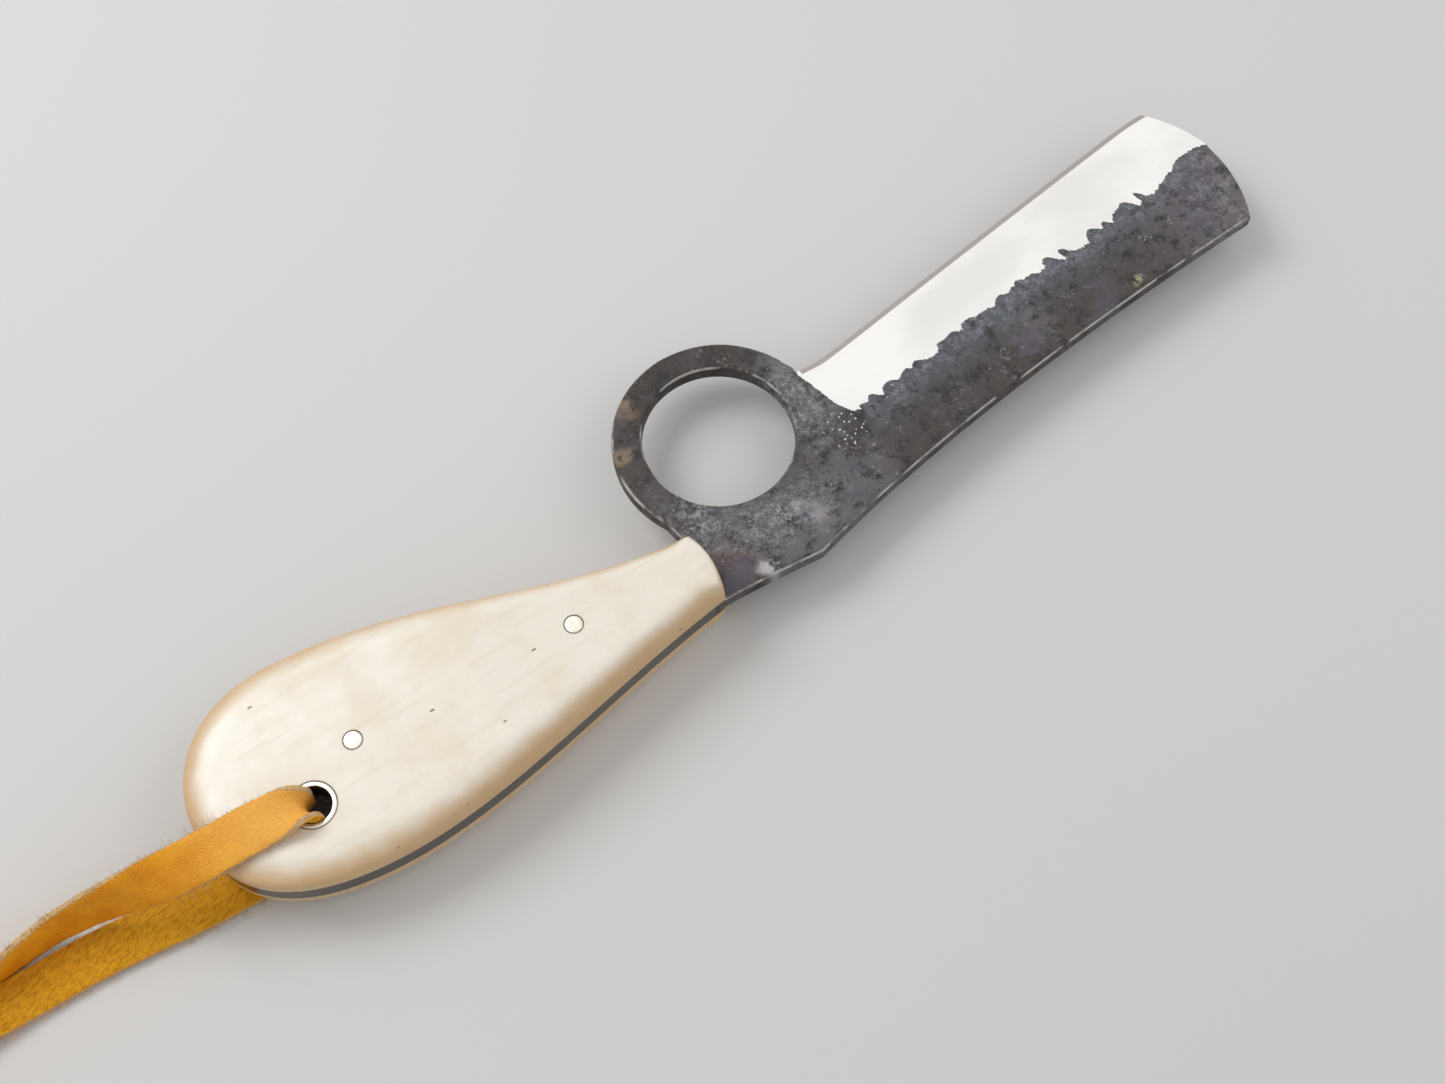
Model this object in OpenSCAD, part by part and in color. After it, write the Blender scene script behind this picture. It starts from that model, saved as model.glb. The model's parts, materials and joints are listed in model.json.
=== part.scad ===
// Forged leather knife: a cleaver-shaped blade with a finger ring and a full tang, two bone
// scales on two pins, and a flat leather thong through a lanyard tube.
// X runs from butt to tip, Y towards the cutting edge and Z up through the front face.
// The knife lies on its back scale, with the origin below the middle of its outline.

/* [Blade] */
// From the middle of the finger ring to the tip
blade_reach = 115; // [100:1:140]
// Depth of the blade at its tip, from spine to edge
blade_w = 31; // [26:0.5:38]
// Thickness of the forging
blade_t = 4; // [3:0.1:5]
// Radius of the rounded tip
tip_r = 28.5; // [23:0.5:40]
// Depth of the polished grind at the tip, from its border to the edge
grind_w = 14.6; // [11:0.1:18]
// Thickness left where the grind meets the edge
edge_t = 0.4; // [0.3:0.05:0.8]

/* [Finger ring] */
// Diameter of the finger hole
hole_d = 28; // [22:0.5:32]
// Width of the wall around the hole
ring_wall = 5.7; // [4:0.1:8]
// How far the neck lies below the middle of the ring
neck_drop = 22.1; // [21:0.1:25]

/* [Handle] */
// Length of the scales
handle_l = 97; // [80:1:120]
// Greatest width of the scales
handle_w = 41; // [32:0.5:50]
// Width of the scales at the neck
neck_w = 12.5; // [10:0.5:14]
// Thickness of each scale at its flat
scale_t = 6.5; // [5:0.1:8]
// How much thinner each scale is at the butt than at its flat
butt_taper = 2.8; // [2.4:0.1:3.4]
// Width of the rounding around the butt
butt_round = 6; // [4:0.5:8]
// Width of the rounding beside the neck
neck_round = 3.4; // [2:0.1:4.5]
// Width of the rounding across the front end of a scale
end_round = 1.2; // [0.6:0.1:2]

/* [Pins and tube] */
// Diameter of the two pins
pin_d = 3.2; // [2:0.1:5]
// From the front of the scales to the front pin
front_pin_at = 26; // [18:0.5:36]
// From the butt to the rear pin
rear_pin_at = 29.5; // [26:0.5:40]
// Outer diameter of the lanyard tube
tube_d = 8; // [7.2:0.1:10]
// Wall of the lanyard tube
tube_wall = 0.8; // [0.5:0.05:0.8]
// From the butt to the middle of the lanyard tube
tube_at = 19; // [16:0.5:21]
// How far the tube sits below the middle line of the handle
tube_low = 6.7; // [3:0.1:8]

/* [Thong] */
// Width of the lace
thong_w = 8.4; // [6:0.1:9]
// Thickness of the lace
thong_t = 1.6; // [1:0.1:1.8]
// Diameter of the knot
knot_d = 14; // [12:0.5:18]
// Length of the knot
knot_l = 15; // [11:0.5:20]

/* [Hidden] */
$fn = 64;

fit_gap = 0.05;               // a glued pin or tube in its hole
hole_up = 0.4;                // the hole sits a little towards the edge side of its ring
ring_r = hole_d / 2 + ring_wall;
in_wall = ring_r - 0.5;       // where the outline's lines end, inside the ring's wall

// Heights, from the flat that the knife lies on
tang_z = scale_t;
mid_z = tang_z + blade_t / 2;
full_t = blade_t + 2 * scale_t;

// Places are measured from the middle of the finger ring, and placed() centres the outline
neck_x = -15.2;
neck_y = -neck_drop;
butt_x = neck_x - handle_l;
handle_y = neck_y + 0.8;      // middle line of the handle
top_y = handle_y + handle_w / 2;
low_y = handle_y - handle_w / 2;

// Blade outline: heel, straight edge, rounded tip and hollow spine
heel = [ring_r - 0.2, 5.5];
edge_start = [heel.x + 4.5, heel.y];
spine_tip_y = -9.4;
edge_tip_y = spine_tip_y + blade_w;
tip_mid = [blade_reach - tip_r, spine_tip_y + 0.41 * blade_w];
edge_tip = tip_corner(edge_tip_y);
spine_tip = tip_corner(spine_tip_y);
kink = [4.5, neck_y - 6.7];
function tip_corner(y) = [tip_mid.x + sqrt(pow(tip_r, 2) - pow(y - tip_mid.y, 2)), y];

neck_top = [neck_x - 0.4, neck_y + neck_w / 2];
neck_low = [neck_x, neck_y - neck_w / 2];
handle_top = [butt_x + 22, top_y];
handle_end = [butt_x, handle_y];
handle_low = [butt_x + 29, low_y];

// Grind: its border runs from the foot of the shoulder to the tip
shoulder = [[heel.x, heel.y - 1], [heel.x + 1.9, -4.1], [heel.x + 4.9, -9.7]];
border_foot = shoulder[2];
border_angle = atan2(edge_tip.y - grind_w - border_foot.y, blade_reach - border_foot.x);
edge_angle = atan2(edge_tip.y - edge_start.y, edge_tip.x - edge_start.x);
edge_bend = edge_tip - [12, 1.8];  // where the straight edge starts to curve to the tip
function from_border(p) = cross([cos(border_angle), sin(border_angle)], p - border_foot);
grind_reach = max([for (p = [heel, edge_bend, edge_tip]) from_border(p)]);
grind_slope = (blade_t - edge_t) / 2 / grind_reach;
bevel_angle = 20;             // the narrow bevel along the edge
bevel_at = 0.2;               // half the thickness left where the bevel meets the edge

// Pins and tube
front_pin_pos = [neck_x - front_pin_at, neck_y + 0.3];
rear_pin_pos = [butt_x + rear_pin_at, handle_y];
tube_pos = [butt_x + tube_at, handle_y - tube_low];

// Scales: flat from the neck to flat_end, then thinner towards the butt
flat_end = -60;
taper_slope = butt_taper / (flat_end - butt_x);
side_h = 1.6;                 // upright part of a scale's side, next to the tang
round_steps = 6;
function scale_h(x) = scale_t - taper_slope * max(0, flat_end - x);
end_blend = 0.6;              // how fast the rounding widens from the front end
function round_at(x) = let (back = max(0, neck_x - x))
    min(end_round + end_blend * back, neck_round + (butt_round - neck_round) * back / handle_l);

function bezier(a, b, c, d, n) = [for (i = [0:n - 1]) let (t = i / n, s = 1 - t)
    s*s*s * a + 3 * s*s*t * b + 3 * s*t*t * c + t*t*t * d];
function arc(mid, r, from, to, n) = [for (i = [0:n]) let (a = from + (to - from) * i / n)
    mid + r * [cos(a), sin(a)]];

// Handle outline from the top of the neck round the butt to the foot of the neck
handle_outline = concat(
    bezier(neck_top, neck_top + [-0.30, 0.018] * handle_l,
           handle_top + [0.29, 0] * handle_l, handle_top, 14),
    bezier(handle_top, handle_top - [13.2, 0],
           handle_end + [0, 0.29] * handle_w, handle_end, 10),
    bezier(handle_end, handle_end - [0, 0.33] * handle_w,
           handle_low - [19, 0], handle_low, 10),
    bezier(handle_low, handle_low + [0.21, 0] * handle_l,
           neck_low - [0.245, 0.041] * handle_l, neck_low, 14),
    [neck_low]);

// Front end of a scale: a shallow bulge across the neck
bulge = 1.2;
scale_outline = concat(handle_outline,
    [for (i = [1:4]) let (t = i / 5) neck_low + t * (neck_top - neck_low) + [bulge * sin(180 * t), 0]]);

function blade_outline() = concat(
    handle_outline,
    bezier(neck_low, neck_low + [6, 0.2], kink - [6, -0.3], kink, 6),
    bezier(kink, kink + [28.5, 9.2], spine_tip - [40, 4], spine_tip, 20),
    arc(tip_mid, tip_r, asin((spine_tip.y - tip_mid.y) / tip_r),
        asin((edge_tip.y - tip_mid.y) / tip_r), 16),
    bezier(edge_tip, edge_tip - [4, 0.2], edge_tip - [8, 1], edge_bend, 6),
    bezier(edge_bend, edge_start + [14, 2.9], edge_start + [3, 0.2], edge_start, 10),
    [edge_start, heel, in_wall * [cos(28), sin(28)], [0, 0], in_wall * [cos(210), sin(210)]]);

// Centre of the outline, which the origin lies below
mid_x = (butt_x + blade_reach) / 2;
mid_y = (low_y + edge_tip_y) / 2;
module placed() translate([-mid_x, -mid_y, 0]) children();

module hole(pos, d) translate([pos.x, pos.y, -1]) cylinder(d = d + 2 * fit_gap, h = full_t + 2);

module fixing_holes() {
    hole(front_pin_pos, pin_d);
    hole(rear_pin_pos, pin_d);
    hole(tube_pos, tube_d);
}

// A wedge over a slope that starts at height z at its foot and runs along local X
module wedge(foot, angle, z, slope, near, far) translate([foot.x, foot.y, 0]) rotate([0, 0, angle])
    translate([-20, 0, 0]) rotate([90, 0, 90]) linear_extrude(blade_reach + 40)
        polygon([[near, z - slope * near], [far, z - slope * far], [far, blade_t], [near, blade_t]]);

// What the grinder takes off one face, from the shoulder to the tip
module grind() {
    intersection() {
        wedge(border_foot, border_angle, blade_t / 2, grind_slope, 0, 2 * blade_w);
        linear_extrude(blade_t) polygon(concat([[heel.x, 60]], shoulder,
            [[border_foot.x, -60], [blade_reach + 20, -60], [blade_reach + 20, 60]]));
    }
    intersection() {
        wedge(edge_start, edge_angle, bevel_at, tan(bevel_angle), -4, 6);
        translate([heel.x, -60, 0]) cube([blade_reach + 20, 120, blade_t]);
    }
}

module blade() color("dimgray") placed() difference() {
    union() {
        translate([0, 0, tang_z]) linear_extrude(blade_t) polygon(blade_outline());
        translate([0, 0, tang_z]) cylinder(r = ring_r, h = blade_t);
    }
    translate([0, hole_up, tang_z - 1]) cylinder(d = hole_d, h = blade_t + 2);
    translate([0, 0, mid_z]) grind();
    translate([0, 0, mid_z]) mirror([0, 0, 1]) grind();
    fixing_holes();
}

// One ring of a scale, moved in by a share of the rounding and lifted to its height
function inward(i) = let (n = len(scale_outline), a = scale_outline[(i + n - 1) % n],
    b = scale_outline[(i + 1) % n], d = (b - a) / norm(b - a)) [-d.y, d.x];
function scale_ring(angle) = [for (i = [0:len(scale_outline) - 1]) let (
    p = scale_outline[i], q = p + inward(i) * round_at(p.x) * (1 - cos(angle)))
    [q.x, q.y, side_h + (scale_h(q.x) - side_h) * sin(angle)]];

// A scale lying on z = 0 with its shaped face up
module scale_blank() {
    n = len(scale_outline);
    rings = concat([[for (p = scale_outline) [p.x, p.y, 0]]],
        [for (k = [0:round_steps]) scale_ring(90 * k / round_steps)]);
    m = len(rings);
    sides = [for (k = [0:m - 2], i = [0:n - 1]) let (a = k * n + i, b = k * n + (i + 1) % n)
        each [[a, a + n, b], [b, a + n, b + n]]];
    // the top is closed by strips between the two long sides, and a face across the front end
    top = (m - 1) * n;
    low_end = len(handle_outline) - 1;
    half = low_end / 2;
    cap = concat([[top, for (i = [n - 1:-1:low_end]) top + i]],
        [for (i = [0:half - 1]) let (a = top + i, b = a + 1, c = top + low_end - i, d = c - 1)
            each (b == d ? [[a, c, b]] : [[a, c, d], [a, d, b]])]);
    base = [[for (i = [0:n - 1]) i]];
    polyhedron(points = [for (r = rings) each r], faces = concat(sides, cap, base));
}

module front_scale() color("ivory") placed() difference() {
    translate([0, 0, tang_z + blade_t]) scale_blank();
    fixing_holes();
}

module back_scale() color("ivory") placed() difference() {
    translate([0, 0, tang_z]) mirror([0, 0, 1]) scale_blank();
    fixing_holes();
}

// A rod through both scales, dressed flush with their outer faces
module flush_rod(pos, d, inner_d) {
    h = scale_h(pos.x);
    lean = pos.x < flat_end ? atan(taper_slope) : 0;
    difference() {
        translate([pos.x, pos.y, 0]) cylinder(d = d, h = full_t);
        if (inner_d > 0) translate([pos.x, pos.y, -1]) cylinder(d = inner_d, h = full_t + 2);
        for (side = [-1, 1]) translate([pos.x, pos.y, mid_z + side * (blade_t / 2 + h)])
            rotate([0, -side * lean, 0]) translate([0, 0, side * d]) cube(2 * d, center = true);
    }
}

module front_pin() color("silver") placed() flush_rod(front_pin_pos, pin_d, 0);
module rear_pin() color("silver") placed() flush_rod(rear_pin_pos, pin_d, 0);
module lanyard_tube() color("silver") placed() flush_rod(tube_pos, tube_d, tube_d - 2 * tube_wall);

// Route of the lace: along the front strand to the tube, through it, and back below the butt.
// Each point is its place and how far the lace is turned about its own line, in degrees.
route = [
    [-163, -25.6, 5.6, 90], [-156, -24.6, 4.9, 90], [-150, -24.0, 4.7, 90], [-145, -23.0, 4.8, 88],
    [-140, -22.4, 5.4, 82], [-134, -22.8, 7.0, 74], [-128, -24.0, 9.2, 60], [-122, -25.3, 11.6, 42],
    [-116, -26.4, 13.7, 22], [-111, -26.8, 14.9, 9], [-106, -26.9, 15.5, 3], [-101, -27.0, 15.9, 0],
    [-97.5, -27.4, 16.5, 0], [-95.4, -27.8, 16.6, 0], [-94.2, -28, 15.2, 0], [-94.2, -28, 12.5, 0],
    [-94.2, -28, 8.5, 0], [-94.2, -28, 4.5, 0], [-94.3, -28, 2.3, 0], [-95.3, -28, 1.2, 0],
    [-97.2, -28.2, 0.9, 0], [-101, -28.7, 0.9, 0], [-107, -29.3, 0.9, 0], [-116, -29.4, 0.9, 0],
    [-126, -28.9, 0.9, 0], [-136, -28.5, 0.9, 0], [-146, -28.8, 1.0, 0], [-155, -29.2, 2.0, 0],
    [-163, -28.6, 4.4, 0]];
route_steps = 3;              // rings from one point of the route to the next
tube_points = [13, 19];       // points of the route inside the tube
lace_in_tube_w = 4.2;         // the curled lace fits inside the tube

function spline(a, b, c, d, t) = 0.5 * (2 * b + (c - a) * t + (2*a - 5*b + 4*c - d) * t*t
    + (3*b - a - 3*c + d) * t*t*t);
function lace_w(u) = let (out = max(tube_points[0] - u, u - tube_points[1], 0))
    lace_in_tube_w + (thong_w - lace_in_tube_w) * min(1, out / 1.5);
function at(u) = let (n = len(route) - 1, i = min(n - 1, floor(u)))
    spline(route[max(0, i - 1)], route[i], route[i + 1], route[min(n, i + 2)], u - i);
function flat3(p) = [p.x, p.y, p.z];

// The lace's section is a flat strip with its corners taken off
function lace_ring(u) = let (
    p = at(u),
    run = flat3(at(min(len(route) - 1, u + 0.05)) - at(max(0, u - 0.05))),
    along = run / norm(run),
    level = [0, 1, 0] - along.y * along,
    side = level / norm(level),
    up = cross(along, side),
    across = side * cos(p[3]) + up * sin(p[3]),
    face = up * cos(p[3]) - side * sin(p[3]),
    w = lace_w(u) / 2, h = thong_t / 2, c = thong_t / 4)
    [for (q = [[w, c], [w - c, h], [c - w, h], [-w, c], [-w, -c], [c - w, -h], [w - c, -h], [w, -c]])
        flat3(p) + across * q[0] + face * q[1]];

module tube_along(rings) {
    n = len(rings[0]);
    m = len(rings);
    polyhedron(points = [for (r = rings) each r], faces = concat(
        [[for (i = [0:n - 1]) i]],
        [for (k = [0:m - 2], i = [0:n - 1]) let (a = k * n + i, b = k * n + (i + 1) % n)
            each [[a, a + n, b], [b, a + n, b + n]]],
        [[for (i = [n - 1:-1:0]) (m - 1) * n + i]]));
}

module thong() color("orange") placed()
    tube_along([for (k = [0:(len(route) - 1) * route_steps]) lace_ring(k / route_steps)]);

// Overhand knot: a barrel lying on the surface, with the two cut ends of the lace behind it
knot_gap = 0.5;               // between the knot and the tilted ends of the strands
knot_x = route[0].x - knot_gap;
knot_y = -27.2;
tail_l = 22;
module thong_knot() color("orange") placed() translate([knot_x, knot_y, knot_d / 2]) {
    flat_r = 0.36 * knot_d;
    rotate([0, -90, 0]) rotate_extrude() polygon(concat([[0, 0]],
        bezier([flat_r, 0], [knot_d / 2, 0.05 * knot_l], [knot_d / 2, 0.3 * knot_l],
               [knot_d / 2, 0.5 * knot_l], 5),
        bezier([knot_d / 2, 0.5 * knot_l], [knot_d / 2, 0.7 * knot_l], [knot_d / 2, 0.95 * knot_l],
               [flat_r, knot_l], 5), [[flat_r, knot_l], [0, knot_l]]));
    for (side = [-1, 1]) tail(side);
}

// One cut end, which leaves the back of the knot and comes down to the surface
module tail(side) {
    drop = thong_t / 2 - knot_d / 2;
    steps = 8;
    tube_along([for (k = [0:steps]) let (t = k / steps,
        p = [-knot_l + 2 - (tail_l + 2) * t, side * (2.2 + 5.5 * t), drop * (1 - pow(1 - t, 3)) + 0.05],
        w = thong_w / 2 * (0.5 + 0.5 * min(1, 3 * t)), h = thong_t / 2)
        [for (q = [[w, h], [w, -h], [-w, -h], [-w, h]]) p + [0, q[0], q[1]]]]);
}

blade();
front_scale();
back_scale();
front_pin();
rear_pin();
lanyard_tube();
thong();
thong_knot();
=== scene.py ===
import json
import math
import random

import bpy
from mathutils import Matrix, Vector, noise
from mathutils.geometry import delaunay_2d_cdt
from mathutils.kdtree import KDTree


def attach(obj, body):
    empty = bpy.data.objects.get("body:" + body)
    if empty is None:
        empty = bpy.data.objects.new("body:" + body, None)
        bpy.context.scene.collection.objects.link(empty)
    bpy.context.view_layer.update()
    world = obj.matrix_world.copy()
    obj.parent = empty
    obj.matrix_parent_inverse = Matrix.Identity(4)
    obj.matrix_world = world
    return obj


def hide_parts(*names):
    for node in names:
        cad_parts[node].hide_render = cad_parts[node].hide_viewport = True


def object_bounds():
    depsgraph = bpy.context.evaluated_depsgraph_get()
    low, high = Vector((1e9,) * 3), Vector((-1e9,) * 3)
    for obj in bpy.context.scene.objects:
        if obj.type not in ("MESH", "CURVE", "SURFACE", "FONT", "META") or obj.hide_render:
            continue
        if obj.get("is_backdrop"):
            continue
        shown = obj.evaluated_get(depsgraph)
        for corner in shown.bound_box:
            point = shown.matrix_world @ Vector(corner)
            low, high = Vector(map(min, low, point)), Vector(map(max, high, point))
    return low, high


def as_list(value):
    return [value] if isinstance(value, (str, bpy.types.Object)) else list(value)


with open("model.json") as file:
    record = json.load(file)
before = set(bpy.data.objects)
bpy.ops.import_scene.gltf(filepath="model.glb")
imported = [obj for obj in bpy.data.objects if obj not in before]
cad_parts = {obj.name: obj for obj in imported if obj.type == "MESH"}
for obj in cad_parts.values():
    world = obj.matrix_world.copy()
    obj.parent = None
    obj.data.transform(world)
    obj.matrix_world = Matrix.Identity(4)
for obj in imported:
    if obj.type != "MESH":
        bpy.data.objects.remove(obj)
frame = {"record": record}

# Leather knife with a finger ring. Shapes are worked out in millimetres in the knife's own
# frame, whose origin is the middle of the finger ring, and mesh() places them in the frame.
cad_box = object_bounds()
MM = 0.001
HOLE_UP = 0.4                     # the finger hole sits this far towards the edge in its ring
ring_mount = next(m for m in frame["record"]["mounts"] if m["name"] == "finger_ring")
SHIFT = Vector((ring_mount["pos_m"][0] / MM, ring_mount["pos_m"][1] / MM - HOLE_UP, 0))
DICE = random.Random(7)

# Driving sizes, as in the CAD model
BLADE_T, EDGE_HALF = 4.0, 0.2
HOLE_R, RING_R = 14.0, 19.7
SCALE_T, SIDE_H = 6.5, 1.6
HANDLE_L, HANDLE_W = 97.0, 41.0
TANG_Z = SCALE_T
MID_Z = TANG_Z + BLADE_T / 2
NECK_X = -15.2
FLAT_END, TAPER = -60.0, 2.8 / 52.2
PIN_R, TUBE_R, TUBE_BORE_R = 1.6, 4.0, 3.2
FRONT_PIN, REAR_PIN, TUBE = (-41.2, -21.8), (-82.7, -21.3), (-93.2, -28.0)
SEAT = 0.06                       # gap drawn between a rod and its hole
LACE_W, LACE_T = 8.4, 1.6


def place(p):
    """A point of the knife frame, in the row frame in metres."""
    return (Vector(p) + SHIFT) * MM


# ---------------------------------------------------------------- camera
CAMERA_AT, CAMERA_AIM = (-84.8, -147.9, 330.9), (-10.1, -18.5, 10.5)
LENS, SENSOR = 49.83, 36


def make_camera():
    data = bpy.data.cameras.new("camera")
    data.sensor_width = SENSOR
    data.lens = LENS
    data.clip_start = 0.01
    camera = bpy.data.objects.new("camera", data)
    bpy.context.collection.objects.link(camera)
    camera.location = place(CAMERA_AT)
    camera.rotation_mode = "QUATERNION"
    camera.rotation_quaternion = (place(CAMERA_AIM) - camera.location).to_track_quat("-Z", "Y")
    bpy.context.scene.camera = camera


# ---------------------------------------------------------------- helpers
def smooth(value, low, high):
    t = min(1, max(0, (value - low) / (high - low)))
    return t * t * (3 - 2 * t)


def between(x, points):
    """y at x on a line through points, held level past its ends."""
    if x <= points[0][0]:
        return points[0][1]
    for (xa, ya), (xb, yb) in zip(points, points[1:]):
        if x <= xb:
            return ya + (yb - ya) * (x - xa) / (xb - xa)
    return points[-1][1]


def bezier(a, b, c, d, n):
    a, b, c, d = map(Vector, (a, b, c, d))
    steps = [i / n for i in range(n)]
    return [(1 - t) ** 3 * a + 3 * (1 - t) ** 2 * t * b + 3 * (1 - t) * t * t * c + t ** 3 * d
            for t in steps]


def arc(mid, r, start, end, n):
    angles = [math.radians(start + (end - start) * i / n) for i in range(n + 1)]
    return [Vector((mid[0] + r * math.cos(a), mid[1] + r * math.sin(a))) for a in angles]


def circle(mid, r, n):
    return arc(mid, r, 0, 360 - 360 / n, n - 1)


def divided(loop, step):
    """The closed loop with points added until none is further than step from the next."""
    out = []
    for a, b in zip(loop, loop[1:] + loop[:1]):
        n = max(1, math.ceil((b - a).length / step))
        out += [a.lerp(b, i / n) for i in range(n)]
    return out


class Border:
    """Lines that a distance is measured from: the nearest point, then the lines beside it."""

    def __init__(self, runs, closed=True):
        self.points, self.beside = [], []
        for run in runs:
            first, n = len(self.points), len(run)
            for i, p in enumerate(run):
                near = ((i - 1) % n, (i + 1) % n) if closed else (max(0, i - 1), min(n - 1, i + 1))
                self.points.append(p)
                self.beside.append([first + j for j in near])
        self.tree = KDTree(len(self.points))
        for i, p in enumerate(self.points):
            self.tree.insert((p.x, p.y, 0), i)
        self.tree.balance()

    def away(self, x, y):
        i, best = self.tree.find((x, y, 0))[1:]
        here, start = Vector((x, y)), self.points[i]
        for j in self.beside[i]:
            run = self.points[j] - start
            if run.length > 0:
                t = min(1, max(0, (here - start).dot(run) / run.length_squared))
                best = min(best, (here - start - run * t).length)
        return best


def fractal(x, y, z, size, octaves=3):
    """Smooth noise of about -1 to 1 whose largest bumps are size across."""
    p = Vector((x / size, y / size, z / size))
    return sum(noise.noise(p * 2 ** k) / 2 ** k for k in range(octaves)) * 1.3


def mesh(name, points, faces, material, values, sharp=55):
    """A piece from points in the knife frame, with values stored on its points by name. Edges
    that turn by more than sharp degrees stay sharp."""
    data = bpy.data.meshes.new(name)
    data.from_pydata([place(p) for p in points], [], faces)
    for key, numbers in values.items():
        coloured = isinstance(numbers[0], tuple)
        kind, field = ("FLOAT_COLOR", "color") if coloured else ("FLOAT", "value")
        layer = data.attributes.new(key, kind, "POINT")
        flat = [v for c in numbers for v in (*c, 1)] if coloured else numbers
        layer.data.foreach_set(field, flat)
    data.validate()
    data.shade_smooth()
    data.set_sharp_from_angle(angle=math.radians(sharp))
    data.materials.append(material)
    piece = bpy.data.objects.new(name, data)
    bpy.context.collection.objects.link(piece)
    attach(piece, "root")
    return piece


# ---------------------------------------------------------------- plates
SAMPLED = 0.4                     # step of the lines that distances are measured from
INSIDE, MERGE = 1, 1e-6           # triangles inside the outline only; points closer than this join


def rows_inside(loop, pitch, skip_at):
    """Points on staggered rows inside the loop. Where skip_at(x) is n, each nth one is kept."""
    low, high = min(p.y for p in loop), max(p.y for p in loop)
    sides = list(zip(loop, loop[1:] + loop[:1]))
    for row in range(int((high - low) / pitch)):
        y = low + (row + 0.5) * pitch
        cuts = sorted(a.x + (b.x - a.x) * (y - a.y) / (b.y - a.y)
                      for a, b in sides if (a.y > y) != (b.y > y))
        for start, end in zip(cuts[::2], cuts[1::2]):
            for k in range(int((end - start) / pitch)):
                x = start + (k + 0.5 + 0.5 * (row % 2)) * pitch
                skip = skip_at(x)
                if x < end and row % skip == 0 and k % skip == 0:
                    yield x, y


def plan_of(outline, holes, pitch, skip_at, rims):
    """A flat triangle mesh of the outline less its round holes (middle, radius, sides). rims(x)
    gives the distances from an edge at which it has rows of points."""
    loops = [outline] + [circle(mid, r, n)[::-1] for mid, r, n in holes]
    border = Border([divided(loop, SAMPLED) for loop in loops])

    def in_hole(x, y):
        return any(math.hypot(x - mid[0], y - mid[1]) < r for mid, r, _ in holes)

    points, edges = [], []
    for loop in loops:
        first = len(points)
        points += loop
        edges += [(first + i, first + (i + 1) % len(loop)) for i in range(len(loop))]
    for loop in loops:
        for i, p in enumerate(loop):
            run = (loop[(i + 1) % len(loop)] - loop[i - 1]).normalized()
            for rim in rims(p.x):
                q = p + Vector((-run.y, run.x)) * rim
                # in a tight corner a point would land too near the line's other arm
                if border.away(q.x, q.y) > 0.93 * rim:
                    points.append(q)
    keep_off = max(rims(outline[0].x)) * 1.15
    for x, y in rows_inside(outline, pitch, skip_at):
        if not in_hole(x, y) and border.away(x, y) > max(keep_off, max(rims(x)) * 1.1):
            points.append(Vector((x, y)))
    made, _, triangles, origins, _, _ = delaunay_2d_cdt(
        points, edges, [list(range(len(outline)))], INSIDE, MERGE)
    new_index = {old: new for new, olds in enumerate(origins) for old in olds}
    kept = []
    for t in triangles:
        mid = sum((made[i] for i in t), Vector((0, 0))) / 3
        if not in_hole(mid.x, mid.y):
            kept.append(tuple(t))
    rings, first = [], 0
    for loop in loops:
        rings.append([new_index[first + i] for i in range(len(loop))])
        first += len(loop)
    return [tuple(p) for p in made], kept, rings, border


def slab(plan, top, bottom):
    """Points and faces of a closed plate, and each point's distance from the plan's edge. top
    and bottom give z at x, y and that distance."""
    flat, triangles, rings, border = plan
    away = [border.away(x, y) for x, y in flat]
    for ring in rings:
        for i in ring:
            away[i] = 0.0
    n = len(flat)
    points = [(x, y, top(x, y, d)) for (x, y), d in zip(flat, away)]
    points += [(x, y, bottom(x, y, d)) for (x, y), d in zip(flat, away)]
    faces = triangles + [(a + n, c + n, b + n) for a, b, c in triangles]
    for ring in rings:
        for a, b in zip(ring, ring[1:] + ring[:1]):
            faces.append((a, a + n, b + n, b))
    return points, faces, away * 2


# ---------------------------------------------------------------- outlines
NECK_TOP, NECK_LOW = Vector((-15.6, -15.85)), Vector((NECK_X, -28.35))
HANDLE_TOP, HANDLE_END = Vector((-90.2, -0.8)), Vector((-112.2, -21.3))
HANDLE_LOW = Vector((-83.2, -41.8))
KINK, SPINE_TIP, EDGE_TIP = Vector((4.5, -28.8)), Vector((112.0, -9.4)), Vector((108.36, 21.6))
EDGE_START, HEEL, EDGE_BEND = Vector((24.0, 5.5)), Vector((19.5, 5.5)), Vector((96.36, 19.8))
TIP_MID, TIP_R = Vector((86.5, 3.31)), 28.5
SHOULDER = [(-9.7, 24.4), (-4.1, 21.4), (4.5, 19.5)]     # y and x of the plunge line
# x and y of the line between the forge skin and the grind
BORDER = [(24.5, -9.8), (28, -9), (40, -6.5), (50, -4.5), (60, -3), (70, -1), (80, 0.3),
          (90, 2), (100, 3.4), (105, 5), (110, 6.3), (115, 7)]
BORDER_TURN = 10.4                # degrees that this line is turned about Z
POLISH_TURN = 10.5                # and the polishing lines
MARKS_TURN = 118                  # and the forging marks, which lean up and to the left


def handle_outline():
    length, width = Vector((HANDLE_L, 0)), Vector((0, HANDLE_W))
    return (
        bezier(NECK_TOP, NECK_TOP + HANDLE_L * Vector((-0.30, 0.018)), HANDLE_TOP + 0.29 * length,
               HANDLE_TOP, 70)
        + bezier(HANDLE_TOP, HANDLE_TOP - Vector((13.2, 0)), HANDLE_END + 0.29 * width, HANDLE_END, 40)
        + bezier(HANDLE_END, HANDLE_END - 0.33 * width, HANDLE_LOW - Vector((19, 0)), HANDLE_LOW, 40)
        + bezier(HANDLE_LOW, HANDLE_LOW + 0.21 * length, NECK_LOW - HANDLE_L * Vector((0.245, 0.041)),
                 NECK_LOW, 64))


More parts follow.
